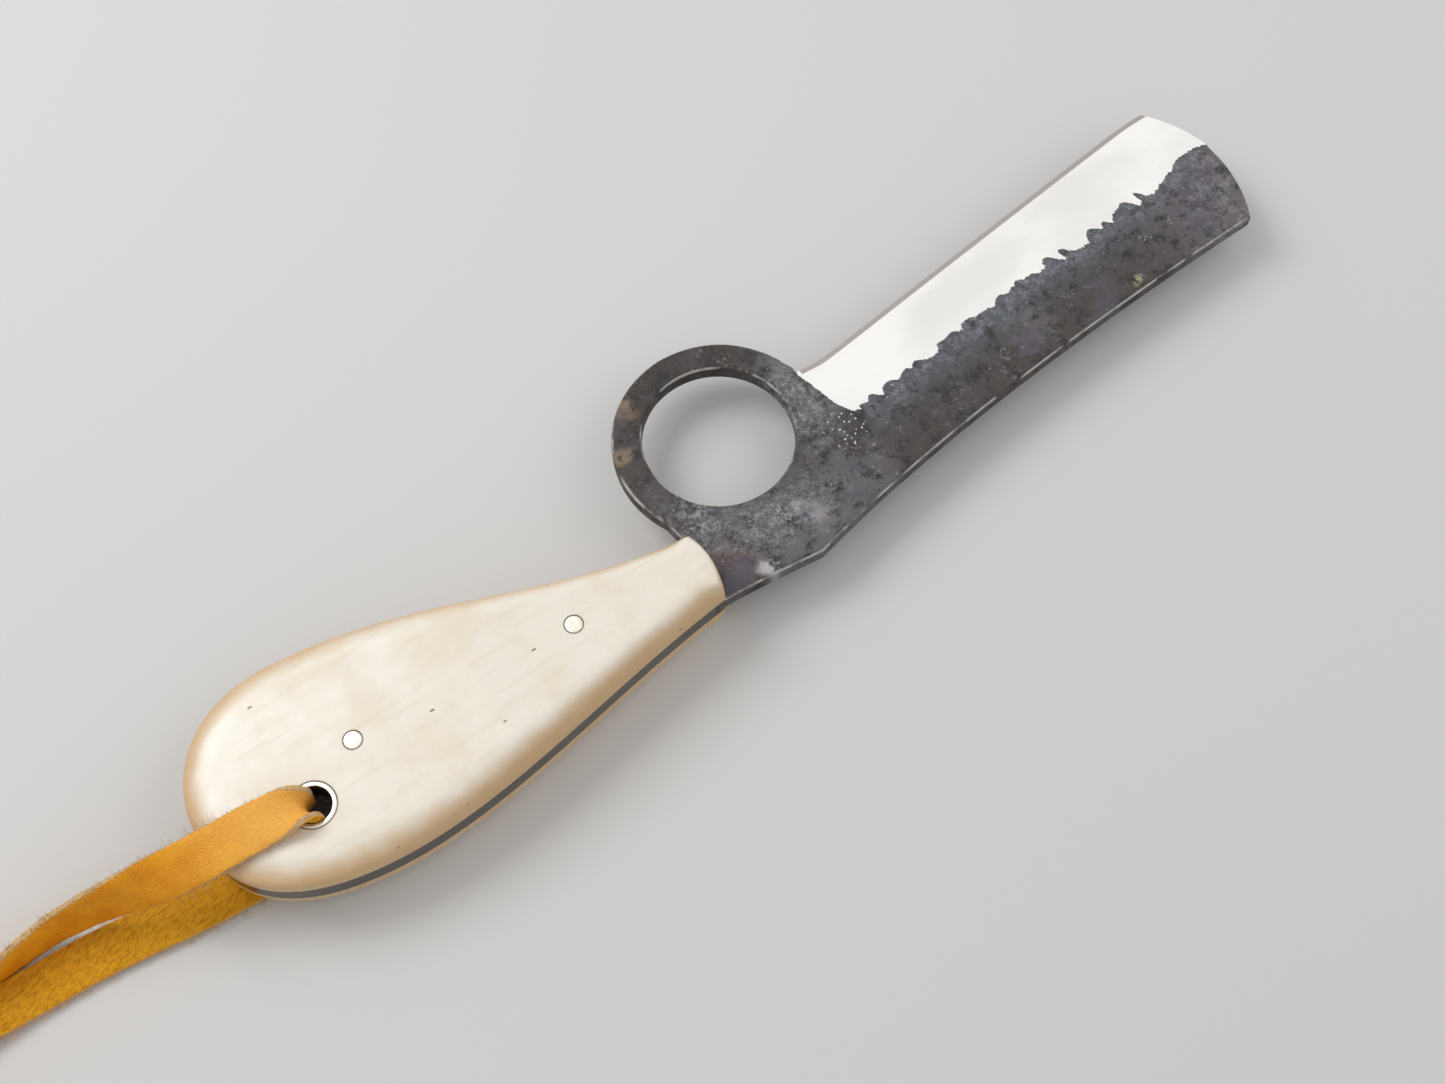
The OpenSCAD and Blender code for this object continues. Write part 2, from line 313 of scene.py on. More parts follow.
def edge_line():
    bend = bezier(EDGE_TIP, EDGE_TIP - Vector((4, 0.2)), EDGE_TIP - Vector((8, 1)), EDGE_BEND, 24)
    straight = bezier(EDGE_BEND, EDGE_START + Vector((14, 2.9)), EDGE_START + Vector((3, 0.2)),
                      EDGE_START, 130)
    return bend + straight + [EDGE_START, HEEL]


def tip_angle(p):
    return math.degrees(math.asin((p.y - TIP_MID.y) / TIP_R))


def blade_outline():
    spine = bezier(KINK, KINK + Vector((28.5, 9.2)), SPINE_TIP - Vector((40, 4)), SPINE_TIP, 170)
    return (handle_outline()
            + bezier(NECK_LOW, NECK_LOW + Vector((6, 0.2)), KINK - Vector((6, -0.3)), KINK, 30)
            + spine + arc(TIP_MID, TIP_R, tip_angle(SPINE_TIP), tip_angle(EDGE_TIP), 54)[:-1]
            + edge_line() + arc((0, 0), RING_R, 22.5, 211, 110))


# ---------------------------------------------------------------- materials
class Paint:
    """Short calls that build a material's nodes. Positions are in millimetres."""

    def __init__(self, name):
        self.material = bpy.data.materials.new(name)
        self.material.use_nodes = True
        self.tree = self.material.node_tree
        self.shader = self.tree.nodes["Principled BSDF"]
        where = self.node("ShaderNodeTexCoord").outputs["Object"]
        scale = self.node("ShaderNodeVectorMath", operation="SCALE")
        self.put(scale.inputs[0], where)
        scale.inputs["Scale"].default_value = 1 / MM
        self.where = scale.outputs[0]

    def node(self, kind, **settings):
        made = self.tree.nodes.new(kind)
        for key, value in settings.items():
            setattr(made, key, value)
        return made

    def put(self, socket, value):
        if isinstance(value, bpy.types.NodeSocket):
            self.tree.links.new(value, socket)
        elif isinstance(value, tuple) and len(value) == 3 and len(socket.default_value) == 4:
            socket.default_value = (*value, 1)
        else:
            socket.default_value = value

    def stretched(self, stretch, turn=0):
        """Positions turned about Z, then divided by the stretch of each axis."""
        mapping = self.node("ShaderNodeMapping", vector_type="TEXTURE")
        self.put(mapping.inputs["Vector"], self.where)
        mapping.inputs["Rotation"].default_value = (0, 0, math.radians(turn))
        mapping.inputs["Scale"].default_value = stretch
        return mapping.outputs[0]

    def noise(self, size, detail=4, rough=0.55, stretch=(1, 1, 1), turn=0):
        made = self.node("ShaderNodeTexNoise")
        self.put(made.inputs["Vector"], self.stretched(stretch, turn))
        made.inputs["Scale"].default_value = 1 / size
        made.inputs["Detail"].default_value = detail
        made.inputs["Roughness"].default_value = rough
        return made.outputs[0]

    def cells(self, size, feature="F1", stretch=(1, 1, 1), turn=0):
        made = self.node("ShaderNodeTexVoronoi", feature=feature)
        self.put(made.inputs["Vector"], self.stretched(stretch, turn))
        made.inputs["Scale"].default_value = 1 / size
        return made.outputs["Distance"]

    def stored(self, name, colour=False):
        made = self.node("ShaderNodeAttribute", attribute_name=name)
        return made.outputs["Color" if colour else "Fac"]

    def calc(self, operation, a, b, clamp=False):
        made = self.node("ShaderNodeMath", operation=operation, use_clamp=clamp)
        self.put(made.inputs[0], a)
        self.put(made.inputs[1], b)
        return made.outputs[0]

    def span(self, value, low, high, to_low=0.0, to_high=1.0):
        made = self.node("ShaderNodeMapRange", interpolation_type="SMOOTHSTEP")
        for socket, number in zip(made.inputs, (value, low, high, to_low, to_high)):
            self.put(socket, number)
        return made.outputs[0]

    def mix(self, share, a, b, blend="MIX"):
        made = self.node("ShaderNodeMix", data_type="RGBA", blend_type=blend)
        self.put(made.inputs[0], share)
        self.put(made.inputs[6], a)
        self.put(made.inputs[7], b)
        return made.outputs[2]

    def relief(self, *layers):
        """Bump from heights and their depths in millimetres, one on top of another."""
        normal = None
        for height, depth in layers:
            bump = self.node("ShaderNodeBump")
            bump.inputs["Distance"].default_value = depth * MM
            self.put(bump.inputs["Height"], height)
            if normal:
                self.put(bump.inputs["Normal"], normal)
            normal = bump.outputs[0]
        self.put(self.shader.inputs["Normal"], normal)

    def finish(self, **sockets):
        for key, value in sockets.items():
            self.put(self.shader.inputs[key.replace("_", " ")], value)
        return self.material


def steel_material():
    """Forge skin, the polished grind and the bevel, told apart by values on the blade."""
    p = Paint("forged_steel")
    ragged = p.calc("SUBTRACT", p.noise(1.3, 5, 0.7, (1.9, 0.7, 1), MARKS_TURN), 0.5)
    reach = p.calc("ADD", p.stored("ground"), p.calc("MULTIPLY", ragged, 2.6))
    ground = p.span(reach, -0.12, 0.16)
    bevel = p.span(p.stored("from_edge"), 1.08, 0.94)
    side = p.span(p.stored("tang_side_shade"), 0.35, 0.75)
    bare = p.calc("MAXIMUM", ground, side)
    blotch = p.noise(3.4, 9, 0.74)
    grain = p.noise(0.55, 3, 0.7)
    dark = p.mix(p.span(blotch, 0.50, 0.60), p.stored("tone", True), (0.013, 0.011, 0.011))
    # pale grey patches: partly the skin's own lighter scale, partly painted highlights
    pale = p.mix(p.span(p.noise(2.2, 9, 0.86), 0.57, 0.66), dark, (0.34, 0.325, 0.35))
    lilac = p.mix(p.span(p.noise(9, 3, 0.5), 0.5, 0.72), pale, (0.075, 0.065, 0.085))
    skin = p.mix(p.span(grain, 0.5, 0.8, 0, 0.3), lilac, (0.24, 0.22, 0.21))
    ash = p.calc("MULTIPLY", p.stored("ash"), p.span(p.noise(1.9, 10, 0.9), 0.46, 0.60))
    # painted glints: near-white specks in the ash-grey mottling stand in for light catching the skin
    painted_glints = p.calc("MULTIPLY", ash, p.span(p.noise(0.45, 4, 0.8), 0.60, 0.68))
    # thin pale line along the forged edges: partly bare rubbed steel, partly a painted highlight
    rubbed_and_highlit = p.calc("MULTIPLY", p.stored("arris"), p.span(p.noise(7, 3, 0.6), 0.40, 0.56))
    # painted glints: scattered pale dots stand in for light catching the hammered skin
    stray_glints = p.calc("MULTIPLY", p.span(p.cells(1.7), 0.11, 0.05), p.span(p.noise(6, 2), 0.5, 0.62))
    specks = p.calc("MULTIPLY", p.stored("specks"), p.span(p.cells(0.95), 0.25, 0.15))
    for share, colour in ((ash, (0.36, 0.37, 0.40)), (painted_glints, (0.75, 0.74, 0.74)),
                          (rubbed_and_highlit, (0.62, 0.60, 0.58)), (stray_glints, (0.55, 0.53, 0.52)),
                          (specks, (0.85, 0.83, 0.8))):
        skin = p.mix(share, skin, colour)
    lines = p.noise(0.22, 3, 0.6, (30, 1, 1), POLISH_TURN)
    cloud = p.noise(13, 3, 0.5, (2, 1, 1), POLISH_TURN)
    polish = p.mix(p.span(cloud, 0.35, 0.7), (0.93, 0.915, 0.895), (0.82, 0.80, 0.78))
    scratches = p.noise(0.16, 2, 0.5, (1, 14, 1), POLISH_TURN)
    honed = p.mix(scratches, (0.34, 0.30, 0.29), (0.46, 0.42, 0.405))
    # the tang's side wall is painted dark grey metal: painted shade and a painted dark reflection
    metal = p.mix(side, p.mix(bevel, polish, honed), (0.13, 0.12, 0.115))
    rough_polish = p.span(lines, 0.3, 0.7, 0.17, 0.27)
    rough_metal = p.calc("ADD", rough_polish, p.calc("MULTIPLY", bevel, 0.12))
    rough_skin = p.span(blotch, 0.35, 0.65, 0.34, 0.62)
    rough = p.node("ShaderNodeMix", data_type="FLOAT")
    for socket, value in ((0, bare), (2, rough_skin), (3, rough_metal)):
        p.put(rough.inputs[socket], value)
    covered = p.calc("SUBTRACT", 1.0, bare, True)
    pits, grit = (p.calc("MULTIPLY", height, covered) for height in (blotch, grain))
    p.relief((pits, 0.55), (grit, 0.12), (lines, 0.006), (ground, -0.05))
    return p.finish(Base_Color=p.mix(bare, skin, metal), Roughness=rough.outputs[0],
                    Metallic=p.span(bare, 0, 1, 0.1, 1.0))


def bone_material():
    p = Paint("bone")
    streak = p.noise(1.6, 5, 0.6, (9, 1, 1), 4)
    cloud = p.noise(11, 5, 0.6)
    base = p.mix(p.span(cloud, 0.38, 0.68), (0.90, 0.845, 0.745), (0.84, 0.755, 0.61))
    lined = p.mix(p.span(streak, 0.52, 0.74, 0, 0.45), base, (0.76, 0.645, 0.475))
    # painted shade: the scales' rounded edges turn warm tan, darkest at the very edge
    uneven = p.calc("ADD", p.stored("rim"), p.calc("MULTIPLY", p.noise(5, 4), 0.3))
    rim = p.span(uneven, 0.48, 1.15, 0, 0.85)
    rim_shade = p.mix(rim, lined, (0.63, 0.37, 0.13))
    pores = p.span(p.cells(2.1, stretch=(2.6, 1, 1)), 0.115, 0.05)
    some = p.calc("MULTIPLY", pores, p.span(p.noise(4.5, 2), 0.53, 0.6))
    # painted shade: a thin dark brown line round the pin and tube holes
    seam_shade = p.mix(p.stored("seam"), rim_shade, (0.20, 0.13, 0.08))
    colour = p.mix(some, seam_shade, (0.33, 0.21, 0.12))
    p.relief((streak, 0.03), (some, -0.12), (p.noise(0.7, 3), 0.012))
    return p.finish(Base_Color=colour, Roughness=p.span(cloud, 0.3, 0.7, 0.26, 0.40),
                    Subsurface_Weight=0.12, Subsurface_Radius=(0.0016, 0.001, 0.0006),
                    Subsurface_Scale=1.0, Coat_Weight=0.18, Coat_Roughness=0.2)


def rod_material(name, light, shade):
    p = Paint(name)
    turning = p.noise(0.35, 4, 0.6, (7, 1, 1), 35)
    tarnish = p.span(p.noise(1.4, 4, 0.6), 0.42, 0.72)
    rim = p.stored("rim")
    bright = p.mix(tarnish, light, shade)
    p.relief((turning, 0.012), (tarnish, -0.01))
    # painted shade: the rod's outer edge and the tube's bore are coloured near black
    return p.finish(Base_Color=p.mix(rim, bright, (0.10, 0.085, 0.07)), Metallic=1.0,
                    Roughness=p.span(turning, 0.3, 0.7, 0.34, 0.48))


def leather_material():
    """Grain, flesh side and cut edge of one strip, told apart by the colour stored on it."""
    p = Paint("thong_leather")
    sides = p.node("ShaderNodeSeparateColor")
    p.put(sides.inputs[0], p.stored("side", True))
    flesh, edge = sides.outputs["Green"], sides.outputs["Blue"]
    cloud = p.noise(6, 4, 0.6)
    creases = p.cells(0.75, "DISTANCE_TO_EDGE", (1.5, 1, 1), 5)
    pores = p.span(p.cells(0.38), 0.30, 0.12)
    grain = p.mix(p.span(cloud, 0.36, 0.68), (0.88, 0.365, 0.010), (0.76, 0.260, 0.004))
    grain = p.mix(p.calc("MULTIPLY", pores, 0.4), grain, (0.46, 0.17, 0.02))
    worn = p.mix(p.stored("worn"), grain, (0.95, 0.50, 0.10))
    fibre = p.noise(0.55, 7, 0.82, (2.6, 1, 1), 24)
    suede = p.mix(p.span(fibre, 0.4, 0.66), (0.88, 0.43, 0.018), (0.50, 0.185, 0.008))
    cut = p.mix(p.span(p.noise(0.3, 5, 0.75, (2.4, 1, 0.6)), 0.38, 0.66), (0.80, 0.56, 0.30),
                (0.52, 0.28, 0.10))
    colour = p.mix(edge, p.mix(flesh, worn, suede), cut)
    raw = p.calc("MAXIMUM", flesh, edge)
    smooth_side = p.calc("SUBTRACT", 1.0, raw, True)
    folds = p.calc("MULTIPLY", p.span(creases, 0, 0.14), smooth_side)
    pits = p.calc("MULTIPLY", pores, smooth_side)
    p.relief((folds, 0.05), (pits, -0.04), (p.calc("MULTIPLY", fibre, raw), 0.3))
    return p.finish(Base_Color=colour, Roughness=p.span(raw, 0, 1, 0.52, 0.92),
                    Specular_IOR_Level=0.22)


def floor_material():
    p = Paint("floor")
    tone = p.mix(p.noise(260, 2, 0.4), (0.72, 0.715, 0.705), (0.68, 0.675, 0.665))
    return p.finish(Base_Color=tone, Roughness=0.85)


# ---------------------------------------------------------------- lace
# The lace's route: place and turn about its own line, in degrees, as in the CAD model
ROUTE = [
    (-163, -25.6, 5.6, 90), (-156, -24.6, 4.9, 90), (-150, -24.0, 4.7, 90), (-145, -23.0, 4.8, 88),
    (-140, -22.4, 5.4, 82), (-134, -22.8, 7.0, 74), (-128, -24.0, 9.2, 60), (-122, -25.3, 11.6, 42),
    (-116, -26.4, 13.7, 22), (-111, -26.8, 14.9, 9), (-106, -26.9, 15.5, 3), (-101, -27.0, 15.9, 0),
    (-97.5, -27.4, 16.5, 0), (-95.4, -27.8, 16.6, 0), (-94.2, -28, 15.2, 0), (-94.2, -28, 12.5, 0),
    (-94.2, -28, 8.5, 0), (-94.2, -28, 4.5, 0), (-94.3, -28, 2.3, 0), (-95.3, -28, 1.2, 0),
    (-97.2, -28.2, 0.9, 0), (-101, -28.7, 0.9, 0), (-107, -29.3, 0.9, 0), (-116, -29.4, 0.9, 0),
    (-126, -28.9, 0.9, 0), (-136, -28.5, 0.9, 0), (-146, -28.8, 1.0, 0), (-155, -29.2, 2.0, 0),
    (-163, -28.6, 4.4, 0)]
TUBE_MIDDLE = 16                  # the point of the route halfway down the tube
FRONT_LENGTH = 0.084              # real lengths of the two strands in metres, from the middle
BACK_LENGTH = 0.082               # of the tube to the knot
CURL_R = 2.3                      # the lace curls to this radius inside the tube
CURL_SHIFT = 1.2                  # and moves this far against the tube's butt side
CURL_FULL, CURL_FRONT, CURL_BACK = 2.0, 5.4, 3.6    # route points from the middle of the tube,
                                  # up to which the curl is full, and where each strand is flat
FRONT_MOUTH, BACK_MOUTH = (-94.2, -28, 15.2), (-94.2, -28, 1.8)   # where the lace leaves the tube
LIFT = 0.06                       # least height of the lace above the floor
GRAIN, FLESH, CUT = (1, 0, 0), (0, 1, 0), (0, 0, 1)
ACROSS = 14                       # steps across a side of the strip
FLAT = 0.97                       # share of the strip's width between its rounded corners
NO_CURL = 1e-4                    # a strip curled by less than this counts as flat
WAVER, UNEVEN, RAGGED = 0.02, 0.05, 0.09     # share of the width; sides and cut edges, in mm
KNOT_X, KNOT_Y, KNOT_R, KNOT_L = -171.0, -27.2, 7.0, 15.0    # middle, radius and length
KNOT_MOUTH = Vector((-168.0, KNOT_Y, 6.6))   # where both strands go into the knot
TAIL_L, TAIL_Z = 21.0, 0.95       # length of a cut end, and the height of its line on the floor
WIND_R, WIND_SWING, WIND_REACH = 3.7, 1.25, 4.5   # of the line that the knot is wound along
WOUND_T, WOUND_W = 1.55, 5.6      # thickness and width of the lace in the knot
FIBRES, FIBRE_R = 420, 0.05       # loose fibres on each strand, and their radius at the root
FIBRE_ROWS, FIBRE_SIDES = 4, 3


def on_route(u):
    n = len(ROUTE) - 1
    i = min(n - 1, int(u))
    a, b, c, d = (Vector(ROUTE[k]) for k in (max(0, i - 1), i, i + 1, min(n, i + 2)))
    t = u - i
    return 0.5 * (2 * b + (c - a) * t + (2 * a - 5 * b + 4 * c - d) * t * t
                  + (3 * b - a - 3 * c + d) * t ** 3)


def turned(along, turn):
    """Directions across the strip and out of its grain side."""
    side = (Vector((0, 1, 0)) - along.y * along).normalized()
    up = along.cross(side)
    a = math.radians(turn)
    return side * math.cos(a) + up * math.sin(a), up * math.cos(a) - side * math.sin(a)


def strip_section():
    """Share of half the width, share of half the thickness, and side, round the strip."""
    shares = [-1 + 2 * i / ACROSS for i in range(ACROSS + 1)]
    top = [(FLAT * s, 1 - 0.28 * s ** 6, GRAIN) for s in shares]
    low = [(FLAT * s, -1 + 0.2 * s ** 6, FLESH) for s in reversed(shares)]
    return top + [(1, 0.5, CUT), (1.012, 0, CUT), (1, -0.5, CUT)] + low + [
        (-1, -0.5, CUT), (-1.012, 0, CUT), (-1, 0.5, CUT)]


def worn_all_over(_):
    return 0.15


def worn_near_tube(p):
    return 0.75 * (1 - smooth(abs(p.x - TUBE[0]), 4, 30))


def strip(name, stations, material, seed, worn=worn_all_over):
    """A flat strip of leather through stations of place, across, out, width and curvature.
    worn gives the share of wear at a place."""
    section = strip_section()
    points, sides, wear = [], [], []
    for mid, across, out, width, curve in stations:
        for share, height, side in section:
            rag = fractal(mid.x, mid.y + 3 * share, seed, 1.1) if side != GRAIN else 0
            s = share * width / 2 * (1 + WAVER * fractal(mid.x, seed, mid.z, 5))
            angle = s * curve
            curled = abs(curve) > NO_CURL
            a = math.sin(angle) / curve if curled else s
            f = (1 - math.cos(angle)) / curve if curled else 0
            t = height * LACE_T / 2 + UNEVEN * fractal(mid.x, 4 * share, mid.z + seed, 2.5) + UNEVEN * rag
            shift = CURL_SHIFT * min(1, abs(curve) * CURL_R)
            p = (mid + across * (a - t * math.sin(angle) + (RAGGED * rag if side == CUT else 0))
                 + out * (f + t * math.cos(angle) - shift))
            points.append((p.x, p.y, max(LIFT, p.z)))
            sides.append(side)
            wear.append(worn(mid))
    n, m = len(section), len(stations)
    faces = [(k * n + i, k * n + (i + 1) % n, (k + 1) * n + (i + 1) % n, (k + 1) * n + i)
             for k in range(m - 1) for i in range(n)]
    for k, turn in ((0, -1), (m - 1, 1)):
        ring = [k * n + i for i in range(n)][::turn]
        faces += [(ring[0], ring[i], ring[i + 1]) for i in range(1, n - 1)]
    return mesh(name, points, faces, material, {"side": sides, "worn": wear}, 42)


def strand_stations(start, end, steps):
    stations = []
    for k in range(steps + 1):
        u = start + (end - start) * k / steps
        x, y, z, turn = on_route(u)
        # the frame runs with the route whichever way the strand is walked
        ahead = on_route(min(len(ROUTE) - 1, u + 0.05)) - on_route(max(0, u - 0.05))
        across, out = turned(ahead.to_3d().normalized(), turn)
        flat_at = CURL_FRONT if u < TUBE_MIDDLE else CURL_BACK
        curve = (1 - smooth(abs(u - TUBE_MIDDLE), CURL_FULL, flat_at)) / CURL_R
        stations.append((Vector((x, y, z)), across, out, LACE_W, curve))
    return stations


def into_knot(stations):
    """The strand's stations, with three more that draw its end into the knot."""
    mid, across, out, width, _ = stations[-1]
    return stations + [(mid.lerp(KNOT_MOUTH, t), across, out, width * (1 - 0.45 * t), 0.25 * t)
                       for t in (0.3, 0.65, 1)]


def scattered():
    return Vector([DICE.uniform(-1, 1) for _ in range(3)])


def fibre(root, out, grow, bend, long):
    """Points and faces of one fibre that thins out and bends away from its root."""
    points = []
    for k in range(FIBRE_ROWS):
        t = k / (FIBRE_ROWS - 1)
        centre = root + grow * long * t + bend * long * t * t * 0.6
        r = FIBRE_R * (1 - 0.75 * t)
        for j in range(FIBRE_SIDES):
            a = 2 * math.pi * j / FIBRE_SIDES
            q = centre + out * (math.cos(a) * r) + grow.cross(out).normalized() * math.sin(a) * r
            points.append((q.x, q.y, max(LIFT, q.z)))
    faces = []
    for k in range(FIBRE_ROWS - 1):
        for j in range(FIBRE_SIDES):
            a, b = FIBRE_SIDES * k + j, FIBRE_SIDES * k + (j + 1) % FIBRE_SIDES
            faces.append((a, b, b + FIBRE_SIDES, a + FIBRE_SIDES))
    last = FIBRE_SIDES * (FIBRE_ROWS - 1)
    faces += [tuple(range(FIBRE_SIDES))[::-1], tuple(last + j for j in range(FIBRE_SIDES))]
    return points, faces


def make_fuzz(strands, material):
    """Loose fibres along the cut edges of the lace."""
    points, faces = [], []
    for stations in strands:
        for _ in range(FIBRES):
            mid, across, out, width, curve = stations[int(DICE.uniform(0.3, 0.93) * len(stations))]
            edge = DICE.choice((-1, 1))
            root = mid + across * edge * width * 0.497 + out * DICE.uniform(-0.6, 0.55)
            if abs(curve) > 0.02 or root.z < 0.5:
                continue
            lean = scattered()
            grow = (across * edge * DICE.uniform(0.35, 1) + lean * 0.8).normalized()
            bend = scattered() * 0.5
            long = DICE.uniform(0.35, 1.9)
            more, sides = fibre(root, out, grow, bend, long)
            faces += [tuple(len(points) + i for i in face) for face in sides]
            points += more
    return mesh("thong_fuzz", points, faces, material,
                {"side": [CUT] * len(points), "worn": [0.0] * len(points)})


def trefoil(t):
    """A point of the line that the knot is wound along, for t up to a full turn."""
    r = WIND_R + WIND_SWING * math.cos(3 * t)
    return Vector((KNOT_X + WIND_REACH * math.sin(3 * t), KNOT_Y + r * math.cos(2 * t),
                   KNOT_R + r * math.sin(2 * t)))


def make_knot(material):
    """An overhand knot: the doubled lace wound as a trefoil about the strands' line."""
    section, turns = strip_section(), 260
    points, sides = [], []
    for k in range(turns):
        t = 2 * math.pi * k / turns
        mid, along = trefoil(t), (trefoil(t + 0.01) - trefoil(t - 0.01)).normalized()
        radial = (mid - Vector((mid.x, KNOT_Y, KNOT_R))).normalized()
        out = (radial - radial.dot(along) * along).normalized()
        across = along.cross(out)
        pinch = 1 + 0.10 * math.sin(5 * t + 1) + 0.04 * fractal(mid.x, mid.y, mid.z, 2)
        for share, height, side in section:
            crown = 0.35 * (1 - share * share)
            q = mid + across * share * WOUND_W / 2 * pinch + out * (height * WOUND_T / 2 + crown)
            points.append((q.x, q.y, max(LIFT, q.z)))
            sides.append(side)
    n = len(section)
    faces = []
    for k in range(turns):
        here, ahead = k * n, (k + 1) % turns * n
        faces += [(here + i, here + (i + 1) % n, ahead + (i + 1) % n, ahead + i) for i in range(n)]
    return mesh("thong_knot_tied", points, faces, material,
                {"side": sides, "worn": [0.25] * len(points)}, 42)


def make_tail(side, material):
    """One cut end of the lace, from the back of the knot down to the floor."""
    stations = []
    steps = 46

    def at(t):
        drop = (TAIL_Z - KNOT_R) * (1 - (1 - t) ** 3)
        return Vector((KNOT_X - KNOT_L / 2 + 3 - (TAIL_L + 3) * t,
                       KNOT_Y + side * (2.2 + 5.5 * t + 0.5 * math.sin(4 * t)), KNOT_R + drop))

    for k in range(steps + 1):
        t = k / steps
        along = (at(t + 0.01) - at(t - 0.01)).normalized()
        across, out = turned(-along, 12 * side * (1 - t))
        narrow = 0.55 + 0.45 * smooth(t, 0, 0.4)
        stations.append((at(t), across, out, LACE_W * narrow, 0.06 * (1 - t)))
    name = "thong_tail_left" if side < 0 else "thong_tail_right"
    return strip(name, stations, material, 20 + side)


def make_lace():
    leather = leather_material()
    front = into_knot(strand_stations(TUBE_MIDDLE, 0, 190))
    back = into_knot(strand_stations(TUBE_MIDDLE, len(ROUTE) - 1, 150))
    front_piece = strip("thong_front_strand", front, leather, 3, worn_near_tube)
    back_piece = strip("thong_back_strand", back, leather, 11)
    on_it = [make_knot(leather), make_tail(-1, leather), make_tail(1, leather)]
    fuzz = make_fuzz([front, back], leather)
    for piece in (front_piece, back_piece, fuzz):
        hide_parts("thong")
    for piece in on_it:
        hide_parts("thong_knot")
    for piece, stations, mouth, length, more in (
            (front_piece, front, FRONT_MOUTH, FRONT_LENGTH, on_it + [fuzz]),
            (back_piece, back, BACK_MOUTH, BACK_LENGTH, [])):
        place(mouth)
        [place(s[0]) for s in stations]
        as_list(more)


# ---------------------------------------------------------------- blade
GRIND_W = 15.6                    # width of the grind
SLOPE = (BLADE_T / 2 - EDGE_HALF) / GRIND_W
ARRIS_R = 0.7                     # rounding of the forged edges
BARED_MOST = 6                    # the grind's reach past the skin is stored up to this
OFF_EDGE = 9.0                    # stored as the distance from the edge where no bevel is
# Blots on the forge skin: x, y, radius, colour and strength
BLOTS = [
    (-10.5, -24.5, 5.0, (0.085, 0.036, 0.020), 0.9), (-5.5, -27, 1.9, (0.55, 0.54, 0.55), 0.85),
    (6.8, -21.5, 3.0, (0.34, 0.32, 0.31), 0.8), (-12.5, 13.5, 2.4, (0.32, 0.22, 0.13), 0.7),
    (-17.5, 5, 2.2, (0.30, 0.21, 0.13), 0.7), (85, -10.5, 1.1, (0.62, 0.52, 0.26), 0.9),
    (20.5, -10, 6.0, (0.030, 0.023, 0.020), 0.9), (62, -9, 5.0, (0.17, 0.155, 0.17), 0.5),
    (40, -14, 5.5, (0.05, 0.042, 0.042), 0.7)]
SPECKS_X, SPECKS_Y = 20.5, -10    # middle of the pale specks by the plunge line
BROWN, BLUE = Vector((0.045, 0.035, 0.031)), Vector((0.075, 0.085, 0.105))
MAUVE, UMBER = Vector((0.12, 0.10, 0.115)), Vector((0.030, 0.021, 0.017))
GREY = Vector((0.125, 0.115, 0.118))
# Deep marks whose floors the grind doesn't reach, so that they stay dark beyond its border
TONGUES = [(28.9, -7.6), (32, -6.7), (39.5, -5.4), (46, -5), (49, -4.5), (52.5, -3.3), (56, -3),
           (60.7, -1.3), (66, -1.2), (73, 1.0), (76.4, 1.6), (83.5, 2.3), (87, 2.5), (92.7, 4.4),
           (96, 5.4), (104, 4.8)]


def over_border(x, y):
    """Distance past the line between skin and grind, towards the cutting edge."""
    return (y - between(x, BORDER)) * math.cos(math.radians(BORDER_TURN))


def along_marks(x, y):
    """x and y along and square to the forging marks."""
    turn = math.radians(MARKS_TURN)
    return x * math.cos(turn) + y * math.sin(turn), y * math.cos(turn) - x * math.sin(turn)


def dents(x, y):
    """Depth of the hammer marks, drawn out up and to the left as they meet the grind."""
    along, aside = along_marks(x, y)
    tongues = 0.35 + 0.9 * fractal(along / 2.1, aside, 2, 3.4, 2)
    marks = 0
    if x > EDGE_START.x and abs(over_border(x, y)) < 6:
        for i, (mx, my) in enumerate(TONGUES):
            a, b = along_marks(x - mx, y - my)
            a, b = a / (1.5 + 0.5 * math.sin(5 * i)), b / (0.75 + 0.2 * math.sin(3 * i))
            marks = max(marks, math.exp(-(a * a + b * b)))
    broad = 0.5 + 0.5 * fractal(x, y, 9, 12, 2)
    fine = 0.5 + 0.5 * fractal(x, y, 4, 1.5, 3)
    near = 1 - smooth(abs(over_border(x, y)), 1.5, 5) if x > EDGE_START.x else 0.0
    even = 0.02 + 0.13 * max(0, broad) + 0.06 * max(0, fine)
    return even + 0.22 * near * max(0, tongues) + 0.5 * marks


def in_handle(x, y):
    return x < NECK_X - 0.4 and (y < NECK_TOP.y + 0.1 or x < -RING_R - 0.5)


def blade_at(x, y, d, cutting):
    """Half the thickness, how far the grind reaches past the skin, and the distance from the
    cutting edge, at a point that is d inside the outline."""
    if in_handle(x, y):
        return BLADE_T / 2, -BARED_MOST, OFF_EDGE
    past = smooth(x - between(y, SHOULDER), 0, 1.1)
    forged = BLADE_T / 2 - dents(x, y)
    ground = BLADE_T / 2 - SLOPE * max(0, over_border(x, y)) * past
    edge = cutting.away(x, y)
    honed = 0.05 + 0.2 * edge if x > HEEL.x - 0.5 else BLADE_T
    r = 0.12 if ground < forged and x > 22 else ARRIS_R
    drop = r - math.sqrt(max(0, r * r - max(0, r - d) ** 2))
    return max(0.04, min(forged, ground, honed) - drop), (forged - ground) / SLOPE, edge


